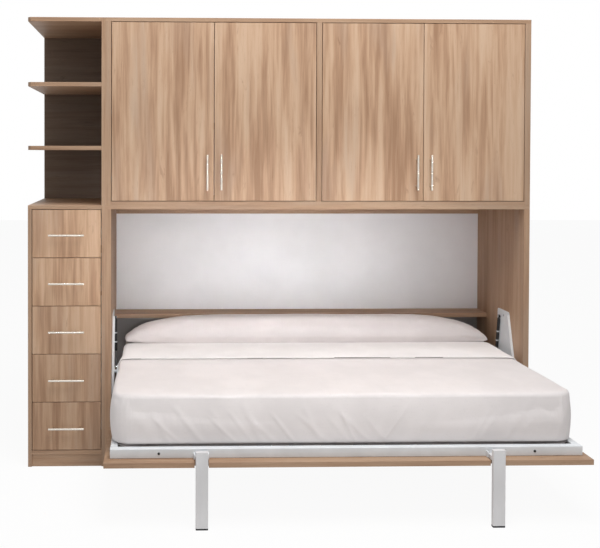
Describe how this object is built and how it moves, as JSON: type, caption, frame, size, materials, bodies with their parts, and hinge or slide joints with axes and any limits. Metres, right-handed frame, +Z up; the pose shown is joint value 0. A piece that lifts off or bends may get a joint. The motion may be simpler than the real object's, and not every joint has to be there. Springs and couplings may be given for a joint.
{
  "type": "wall bed",
  "caption": "Side-tilting wall bed in an oak cabinet, with cupboards over it and an end unit of drawers and open shelves; bed, legs, struts, doors and drawers move.",
  "frame": {"origin": "on the floor, under the middle of the whole object's box", "axes": "+X to the viewer's right along the wall, +Y towards the wall, +Z up"},
  "size_m": [2.43, 1.2684, 2.16],
  "materials": {
    "oak_board": "oak-effect board with matching edging, satin",
    "white_board": "white board, matt",
    "grey_board": "grey board, matt",
    "frame_paint": "light grey powder coat",
    "leg_steel": "silver-grey powder coat, black foot pad",
    "bright_steel": "bright brushed",
    "strut_black": "black paint",
    "rod_steel": "polished",
    "slat_beech": "clear lacquered beech",
    "sheet_fabric": "woven cotton, pale pinkish beige",
    "pillow_fabric": "woven cotton, pale beige"
  },
  "bodies": {
    "cabinet": {"cabinet_side_left": "oak_board", "cabinet_side_right": "oak_board", "cabinet_top": "oak_board", "rear_tie_rail": "oak_board", "niche_back_panel": "white_board", "lower_back_panel": "grey_board", "headboard_shelf": "oak_board", "floor_tie": "oak_board", "lift_bracket_left": "frame_paint", "lift_bracket_right": "frame_paint", "overhead_uprights": "oak_board", "overhead_top": "oak_board", "overhead_bottom": "oak_board", "overhead_back": "white_board", "overhead_shelves": "oak_board", "hinge_plates": "bright_steel", "end_unit_side": "oak_board", "drawer_unit_side": "oak_board", "drawer_unit_top": "oak_board", "drawer_unit_bottom": "oak_board", "drawer_unit_plinth": "oak_board", "end_unit_back": "oak_board", "end_shelves": "oak_board", "drawer_runners": "bright_steel"},
    "bed": {"face_panel": "oak_board", "bed_frame": "frame_paint", "bed_arms": "frame_paint", "slats": "slat_beech", "mattress": "sheet_fabric", "sheet_fold": "sheet_fabric", "pillow": "pillow_fabric"},
    "left_leg": {"leg_left": "leg_steel"},
    "right_leg": {"leg_right": "leg_steel"},
    "left_strut": {"strut_left_cylinder": "strut_black"},
    "left_strut_rod": {"strut_left_rod": "rod_steel"},
    "right_strut": {"strut_right_cylinder": "strut_black"},
    "right_strut_rod": {"strut_right_rod": "rod_steel"},
    "cupboard_door_1": {"door_1": "oak_board", "door_1_fittings": "bright_steel"},
    "cupboard_door_2": {"door_2": "oak_board", "door_2_fittings": "bright_steel"},
    "cupboard_door_3": {"door_3": "oak_board", "door_3_fittings": "bright_steel"},
    "cupboard_door_4": {"door_4": "oak_board", "door_4_fittings": "bright_steel"},
    "drawer_1": {"drawer_1_front": "oak_board", "drawer_1_box": "white_board", "drawer_1_fittings": "bright_steel"},
    "drawer_2": {"drawer_2_front": "oak_board", "drawer_2_box": "white_board", "drawer_2_fittings": "bright_steel"},
    "drawer_3": {"drawer_3_front": "oak_board", "drawer_3_box": "white_board", "drawer_3_fittings": "bright_steel"},
    "drawer_4": {"drawer_4_front": "oak_board", "drawer_4_box": "white_board", "drawer_4_fittings": "bright_steel"},
    "drawer_5": {"drawer_5_front": "oak_board", "drawer_5_box": "white_board", "drawer_5_fittings": "bright_steel"}
  },
  "joints": [
    {"name": "bed_tilt", "type": "hinge", "parent": "cabinet", "child": "bed", "pos_m": [0.185, 0.20425, 0.415], "axis": [-1, 0, 0], "range_deg": [0, 90]},
    {"name": "leg_left_fold", "type": "hinge", "parent": "bed", "child": "left_leg", "pos_m": [-0.417, -0.58025, 0.276], "axis": [1, 0, 0], "range_deg": [0, 90]},
    {"name": "leg_right_fold", "type": "hinge", "parent": "bed", "child": "right_leg", "pos_m": [0.787, -0.58025, 0.276], "axis": [1, 0, 0], "range_deg": [0, 90]},
    {"name": "strut_left_swing", "type": "hinge", "parent": "cabinet", "child": "left_strut", "pos_m": [-0.806, 0.28425, 0.67], "axis": [-1, 0, 0], "range_deg": [0, 22.13]},
    {"name": "strut_left_extend", "type": "slide", "parent": "left_strut", "child": "left_strut_rod", "axis": [0, 0.1493, -0.9888], "range_m": [0, 0.1178]},
    {"name": "strut_right_swing", "type": "hinge", "parent": "cabinet", "child": "right_strut", "pos_m": [1.176, 0.28425, 0.67], "axis": [-1, 0, 0], "range_deg": [0, 22.13]},
    {"name": "strut_right_extend", "type": "slide", "parent": "right_strut", "child": "right_strut_rod", "axis": [0, 0.1493, -0.9888], "range_m": [0, 0.1178]},
    {"name": "door_1_swing", "type": "hinge", "parent": "cabinet", "child": "cupboard_door_1", "pos_m": [-0.814, 0.03425, 1.71], "axis": [0, 0, -1], "range_deg": [0, 85]},
    {"name": "door_2_swing", "type": "hinge", "parent": "cabinet", "child": "cupboard_door_2", "pos_m": [0.1695, 0.03425, 1.71], "axis": [0, 0, 1], "range_deg": [0, 85]},
    {"name": "door_3_swing", "type": "hinge", "parent": "cabinet", "child": "cupboard_door_3", "pos_m": [0.2005, 0.03425, 1.71], "axis": [0, 0, -1], "range_deg": [0, 85]},
    {"name": "door_4_swing", "type": "hinge", "parent": "cabinet", "child": "cupboard_door_4", "pos_m": [1.184, 0.03425, 1.71], "axis": [0, 0, 1], "range_deg": [0, 85]},
    {"name": "drawer_1_slide", "type": "slide", "parent": "cabinet", "child": "drawer_1", "axis": [0, -1, 0], "range_m": [0, 0.35]},
    {"name": "drawer_2_slide", "type": "slide", "parent": "cabinet", "child": "drawer_2", "axis": [0, -1, 0], "range_m": [0, 0.35]},
    {"name": "drawer_3_slide", "type": "slide", "parent": "cabinet", "child": "drawer_3", "axis": [0, -1, 0], "range_m": [0, 0.35]},
    {"name": "drawer_4_slide", "type": "slide", "parent": "cabinet", "child": "drawer_4", "axis": [0, -1, 0], "range_m": [0, 0.35]},
    {"name": "drawer_5_slide", "type": "slide", "parent": "cabinet", "child": "drawer_5", "axis": [0, -1, 0], "range_m": [0, 0.35]}
  ],
  "couplings": [
    {"joint": "leg_left_fold", "follows": "bed_tilt", "ratio": 1},
    {"joint": "leg_right_fold", "follows": "bed_tilt", "ratio": 1},
    {"joint": "strut_left_swing", "follows": "bed_tilt", "ratio": 0.24533},
    {"joint": "strut_left_extend", "follows": "bed_tilt", "m_per_rad": 0.074896},
    {"joint": "strut_right_swing", "follows": "bed_tilt", "ratio": 0.24533},
    {"joint": "strut_right_extend", "follows": "bed_tilt", "m_per_rad": 0.074896}
  ]
}
